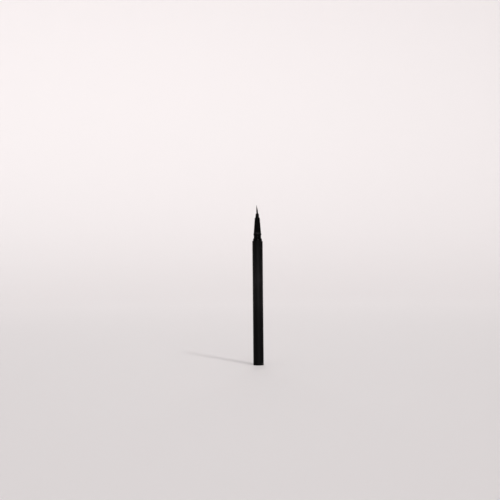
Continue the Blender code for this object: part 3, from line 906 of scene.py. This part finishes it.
def outline_object(name, outline):
    """An outline as a line of edges. A loop comes back to its first point."""
    points = outline + outline[:1] if outline[0].x > 0 else outline
    mesh = bpy.data.meshes.new(name)
    edges = [(place, place + 1) for place in range(len(points) - 1)]
    mesh.from_pydata([(point.x, 0, point.y) for point in points], edges, [])
    return new_object(name, mesh)


def shared_tree(make):
    """The tree that a function makes, made once and named after the function."""
    tree = bpy.data.node_groups.get(make.__name__) or make()
    tree.name = make.__name__
    return tree


def run_tree(obj, make, values):
    """Runs a shape tree on an object with its inputs set, and keeps the result as a plain mesh."""
    modifier = obj.modifiers.new("Shape", "NODES")
    modifier.node_group = shared_tree(make)
    for item in modifier.node_group.interface.items_tree:
        if item.in_out == "INPUT" and item.name in values:
            modifier[item.identifier] = values[item.name]
    keep_result(obj)


def keep_result(obj):
    """Turns what an object's modifiers make into its mesh, and removes them."""
    bpy.context.view_layer.update()
    graph = bpy.context.evaluated_depsgraph_get()
    mesh = bpy.data.meshes.new_from_object(obj.evaluated_get(graph), depsgraph=graph)
    obj.modifiers.clear()
    old = obj.data
    obj.data = mesh
    bpy.data.meshes.remove(old)
    mesh.name = obj.name
    for place in reversed(range(len(mesh.materials))):
        if not mesh.materials[place]:
            mesh.materials.pop(index=place)


def turn_piece(name, outline, material, fibre_depth=0.0):
    """A piece turned from its outline, about the pen's axis."""
    obj = outline_object(name, outline)
    values = {
        "Steps": bpy.context.scene.eyeliner_shape.steps,
        "Fibre depth": fibre_depth,
        "Fibre size": FIBRE_SIZE,
        "Material": material,
    }
    run_tree(obj, lathe_tree, values)
    return obj


def cut_box(obj, name, low, high):
    """Cuts a box out of a piece."""
    mesh = bpy.data.meshes.new(name)
    shape = bmesh.new()
    size = Vector(high) - Vector(low)
    middle = (Vector(high) + Vector(low)) / 2
    place = Matrix.Translation(middle) @ Matrix.Diagonal((*size, 1))
    bmesh.ops.create_cube(shape, size=1, matrix=place)
    shape.to_mesh(mesh)
    shape.free()
    box = new_object(name, mesh)
    cut = obj.modifiers.new(name, "BOOLEAN")
    cut.operation = "DIFFERENCE"
    cut.solver = "EXACT"
    cut.object = box
    keep_result(obj)
    bpy.data.objects.remove(box)


def settle(obj, body, slot, *nodes):
    """Shades a finished piece, and lets it ride on its body in place of its solids."""
    obj.data.shade_smooth()
    obj.data.set_sharp_from_angle(angle=CREASE)
    obj.modifiers.new("Weighted normals", "WEIGHTED_NORMAL").keep_sharp = True
    keep_result(obj)
    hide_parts(*nodes)
    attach(obj, body)


def moulded_piece(node, body, slot, look):
    """A turned piece with its solid's own outline, rounded at its edges."""
    shape = bpy.context.scene.eyeliner_shape
    outline = soften(outline_of(node), shape.edge_round)
    obj = turn_piece(node + "_finished", outline, make_material(look))
    settle(obj, body, slot, node)


def felt_piece(node, name, body, slot, look, row):
    """A turned piece of bonded fibres, with rows close enough to carry their relief."""
    shape = bpy.context.scene.eyeliner_shape
    outline = split(soften(outline_of(node), shape.edge_round), row)
    obj = turn_piece(name, outline, make_material(look), shape.fibre_depth)
    settle(obj, body, slot, node)


# Operators


BALL_ROWS = 40
ROD_ROW = 1 * MM  # longest face along a rod of fibres
FELT_RING_ROW = 0.25 * MM
BEND_SHARE = 4 / 3  # a bend's reach past the brush's point, as a share of the free span; the strands are not bent by it
RING_SIDES = 36
FLASH_SHARE = 1 / 30  # height of the sealing ring's flash, as a share of its cord's radius
FLASH_SHARPNESS = 24


class PieceOperator:
    """What the operators have in common."""

    bl_options = {"REGISTER", "UNDO"}


class EYELINER_OT_barrel(PieceOperator, bpy.types.Operator):
    """Make the tubular barrel that holds the liquid"""

    bl_idname = "eyeliner.barrel"
    bl_label = "Barrel"

    def execute(self, context):
        moulded_piece("barrel", "bottle", "satin_black_plastic", satin_black)
        return {"FINISHED"}


class EYELINER_OT_tail_plug(PieceOperator, bpy.types.Operator):
    """Make the plug that closes the barrel's foot"""

    bl_idname = "eyeliner.tail_plug"
    bl_label = "Tail plug"

    def execute(self, context):
        moulded_piece("tail_plug", "bottle", "satin_black_plastic", satin_black)
        return {"FINISHED"}


class EYELINER_OT_mixing_balls(PieceOperator, bpy.types.Operator):
    """Make the two loose steel balls in the tank"""

    bl_idname = "eyeliner.mixing_balls"
    bl_label = "Mixing balls"

    def execute(self, context):
        angles = [math.pi * row / BALL_ROWS for row in range(BALL_ROWS + 1)]
        outline = [Vector((math.sin(angle), math.cos(angle))) * BALL_RADIUS for angle in angles]
        outline[0].x = outline[-1].x = 0
        for number in (1, 2):
            low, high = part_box(f"mixing_ball_{number}")
            ball = turn_piece(f"steel_ball_{number}", outline, make_material(polished_steel))
            ball.data.transform(Matrix.Translation((low + high) / 2))
            settle(ball, f"ball_{number}", "ball_steel", f"mixing_ball_{number}")
        return {"FINISHED"}


class EYELINER_OT_front_section(PieceOperator, bpy.types.Operator):
    """Make the front section, its collar ring and the nozzle that holds the brush"""

    bl_idname = "eyeliner.front_section"
    bl_label = "Front section"

    def execute(self, context):
        for node in ("front_section", "collar_ring", "brush_holder"):
            moulded_piece(node, "applicator", "gloss_black_plastic", gloss_black)
        return {"FINISHED"}


class EYELINER_OT_brush(PieceOperator, bpy.types.Operator):
    """Make the bristles, and the fused root that holds them"""

    bl_idname = "eyeliner.brush"
    bl_label = "Brush"

    def execute(self, context):
        shape = context.scene.eyeliner_shape
        brush = new_object("bristles", bpy.data.meshes.new("bristles"))
        values = {
            "Bristles": shape.bristles,
            "Sides": shape.bristle_sides,
            "Rows": shape.bristle_rows,
            "Bristle radius": shape.bristle_radius,
            "Bundle radius": BRISTLE_RADIUS,
            "Point radius": BRISTLE_POINT.x,
            "Base height": ROOT_TOP + TOUCH,
            "Flex height": FLEX_HEIGHT,
            "Point height": BRISTLE_POINT.y,
            "Lean": shape.bristle_lean,
            "Shortest share": shape.shortest_share,
            "Swell share": shape.swell_share,
            "Clumping": shape.clumping,
            "Seed": shape.seed,
            "Material": make_material(wet_bristles),
        }
        run_tree(brush, bristle_tree, values)
        brush.data.shade_smooth()
        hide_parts("brush_tip")
        bent = FLEX_HEIGHT + (BRISTLE_POINT.y - FLEX_HEIGHT) * BEND_SHARE
        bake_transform(brush)
        felt_piece("brush_root", "fused_root", "applicator", "inked_bristle", wet_bristles, ROD_ROW)
        return {"FINISHED"}


class EYELINER_OT_felts(PieceOperator, bpy.types.Operator):
    """Make the relay core and the absorber ring round it"""

    bl_idname = "eyeliner.felts"
    bl_label = "Relay core and absorber ring"

    def execute(self, context):
        felt_piece("relay_core", "fibre_core", "applicator", "inked_felt", soaked_felt, ROD_ROW)
        felt_piece(
            "absorber_ring", "felt_ring", "applicator", "clean_felt", clean_felt, FELT_RING_ROW
        )
        return {"FINISHED"}


class EYELINER_OT_collector(PieceOperator, bpy.types.Operator):
    """Make the collector: its shaft, the comb of fins, the slit and the air groove"""

    bl_idname = "eyeliner.collector"
    bl_label = "Collector"

    def execute(self, context):
        edge_round = context.scene.eyeliner_shape.edge_round
        outline = outline_of("collector")
        shaft_radius, fin_radius = comb_radii(outline)
        fins = heights_at(outline, fin_radius)
        roots = heights_at(outline, shaft_radius)
        shaft = [point for point in outline if not fins[0] - TOUCH < point.y < fins[-1] + TOUCH]
        thickness = fins[1] - fins[0]
        inner_radius = shaft_radius - edge_round * 2  # each fin starts inside the shaft
        fin_outline = [
            Vector((inner_radius, thickness)),
            Vector((fin_radius, thickness)),
            Vector((fin_radius, 0)),
            Vector((inner_radius, 0)),
        ]
        material = make_material(natural_plastic)
        fin = turn_piece("fin", soften(fin_outline, edge_round), material)
        comb = turn_piece("feed_comb", soften(shaft, edge_round), material)
        middle = (fins[0] + fins[-1]) / 2
        slit = side_gap("collector", -1, shaft_radius, fins[1], middle)
        groove = side_gap("collector", 1, shaft_radius, fins[1], middle)
        floor = groove_floor("collector", groove)
        inside_bore = -CORE_RADIUS / 2
        for obj, low, high in ((fin, -thickness, 2 * thickness), (comb, roots[0], roots[-1])):
            cut_box(obj, "slit", (-slit, -BARREL_RADIUS, low), (slit, inside_bore, high))
            cut_box(obj, "groove", (-groove, floor, low), (groove, BARREL_RADIUS, high))
        values = {
            "Fin": fin,
            "Fin count": len(fins) // 2,
            "First fin": fins[0],
            "Pitch": fins[2] - fins[0],
            "Material": material,
        }
        run_tree(comb, comb_tree, values)
        bpy.data.objects.remove(fin)
        settle(comb, "applicator", "collector_plastic", "collector")
        return {"FINISHED"}


class EYELINER_OT_sealing_ring(PieceOperator, bpy.types.Operator):
    """Make the rubber ring that seals the collector in the barrel"""

    bl_idname = "eyeliner.sealing_ring"
    bl_label = "Sealing ring"

    def execute(self, context):
        cord = (RING_HIGH.z - RING_LOW.z) / 2
        middle = Vector((RING_HIGH.x - cord, RING_LOW.z + cord))
        outline = []
        for side in range(RING_SIDES):
            angle = -math.tau * side / RING_SIDES
            flash = FLASH_SHARE * max(0, math.cos(2 * angle)) ** FLASH_SHARPNESS
            reach = cord * (1 + flash)
            outline.append(middle + Vector((math.cos(angle), math.sin(angle))) * reach)
        ring = turn_piece("rubber_ring", outline, make_material(red_rubber))
        settle(ring, "applicator", "seal_rubber", "sealing_ring")
        return {"FINISHED"}


class EYELINER_OT_stage(PieceOperator, bpy.types.Operator):
    """Make the floor, the lamps, the world and the camera"""

    bl_idname = "eyeliner.stage"
    bl_label = "Stage"

    def execute(self, context):
        stage = context.scene.eyeliner_stage
        make_floor(stage)
        make_world(stage)
        for name, angles in LAMPS.items():
            make_lamp(name, getattr(stage, name), *angles)
        make_camera(stage)
        context.scene.view_settings.view_transform = "Standard"
        return {"FINISHED"}


# Each lamp's angles right of the camera and up, and its width, in degrees
LAMPS = {
    "key_lamp": (10, 12, 26),
    "side_lamp": (28, 38, 6),
    "back_lamp": (180, 12, 26),
    "top_lamp": (0, 80, 40),
}
WHITE = (1, 1, 1, 1)
WALL_SHARE = 0.5  # how much of the floor's radius curves up into the backdrop
WALL_STEPS = 12


def make_floor(stage):
    """A round pale floor that curves up all round into a backdrop."""
    wall = stage.floor_radius * WALL_SHARE
    flat = stage.floor_radius - wall
    outline = [Vector((0, 0)), Vector((flat, 0))]
    for step in range(1, WALL_STEPS + 1):
        angle = math.pi / 2 * step / WALL_STEPS
        outline.append(Vector((flat + wall * math.sin(angle), wall * (1 - math.cos(angle)))))
    floor = turn_piece("floor", outline, make_material(pale_floor))
    floor.data.shade_smooth()
    floor.visible_shadow = False  # the lamps' light comes in through the backdrop


def make_world(stage):
    """Even white light from all round."""
    world = bpy.data.worlds.new("studio")
    world.use_nodes = True
    world.node_tree.nodes.clear()
    graph = Graph(world.node_tree)
    light = {"Color": WHITE, "Strength": stage.world_level}
    sky = graph.add("ShaderNodeBackground", inputs=light)
    graph.add("ShaderNodeOutputWorld", inputs={"Surface": sky})
    bpy.context.scene.world = world


def make_lamp(name, level, azimuth, elevation, width):
    """A far, wide lamp, so its light is soft and the same all over the pen."""
    lamp = bpy.data.lights.new(name, "SUN")
    lamp.angle = math.radians(width)
    lamp.energy = level * math.pi  # a white surface sends 1/pi of it to the camera
    # Rays that the pen reflects stop at the backdrop, so they can't be what finds the lamp
    lamp.cycles.use_multiple_importance_sampling = False
    side, up = math.radians(azimuth), math.radians(elevation)
    level_part = math.cos(up)
    outwards = Vector((math.sin(side) * level_part, -math.cos(side) * level_part, math.sin(up)))
    new_object(name, lamp).rotation_euler = outwards.to_track_quat("Z", "Y").to_euler()


def make_camera(stage):
    """A level camera in front of the pen."""
    lens = bpy.data.cameras.new("camera")
    lens.lens = stage.lens
    camera = new_object("camera", lens)
    camera.location = (stage.aside, -stage.distance, stage.height)
    camera.rotation_euler = (math.pi / 2, stage.roll, 0)
    bpy.context.scene.camera = camera


class EYELINER_PT_panel(bpy.types.Panel):
    """Lists the pieces, in the sidebar of the 3D view."""

    bl_idname = "EYELINER_PT_panel"
    bl_label = "Eyeliner pen"
    bl_space_type = "VIEW_3D"
    bl_region_type = "UI"
    bl_category = "Eyeliner pen"

    def draw(self, context):
        for operator in OPERATORS:
            self.layout.operator(operator.bl_idname)
        for group in GROUPS:
            settings = getattr(context.scene, group)
            box = self.layout.box()
            for name in settings.__annotations__:
                box.prop(settings, name)


OPERATORS = (
    EYELINER_OT_barrel,
    EYELINER_OT_tail_plug,
    EYELINER_OT_mixing_balls,
    EYELINER_OT_front_section,
    EYELINER_OT_brush,
    EYELINER_OT_felts,
    EYELINER_OT_collector,
    EYELINER_OT_sealing_ring,
    EYELINER_OT_stage,
)
GROUPS = {
    "eyeliner_shape": EyelinerShape,
    "eyeliner_finish": EyelinerFinish,
    "eyeliner_stage": EyelinerStage,
}
CLASSES = (*GROUPS.values(), *OPERATORS, EYELINER_PT_panel)


def register():
    for kind in CLASSES:
        bpy.utils.register_class(kind)
    for name, kind in GROUPS.items():
        setattr(bpy.types.Scene, name, bpy.props.PointerProperty(type=kind))


def unregister():
    for name in GROUPS:
        delattr(bpy.types.Scene, name)
    for kind in reversed(CLASSES):
        bpy.utils.unregister_class(kind)


def main():
    """Makes everything."""
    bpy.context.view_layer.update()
    register()
    for operator in OPERATORS:
        group, name = operator.bl_idname.split(".")
        getattr(getattr(bpy.ops, group), name)()


if __name__ == "__main__":
    main()
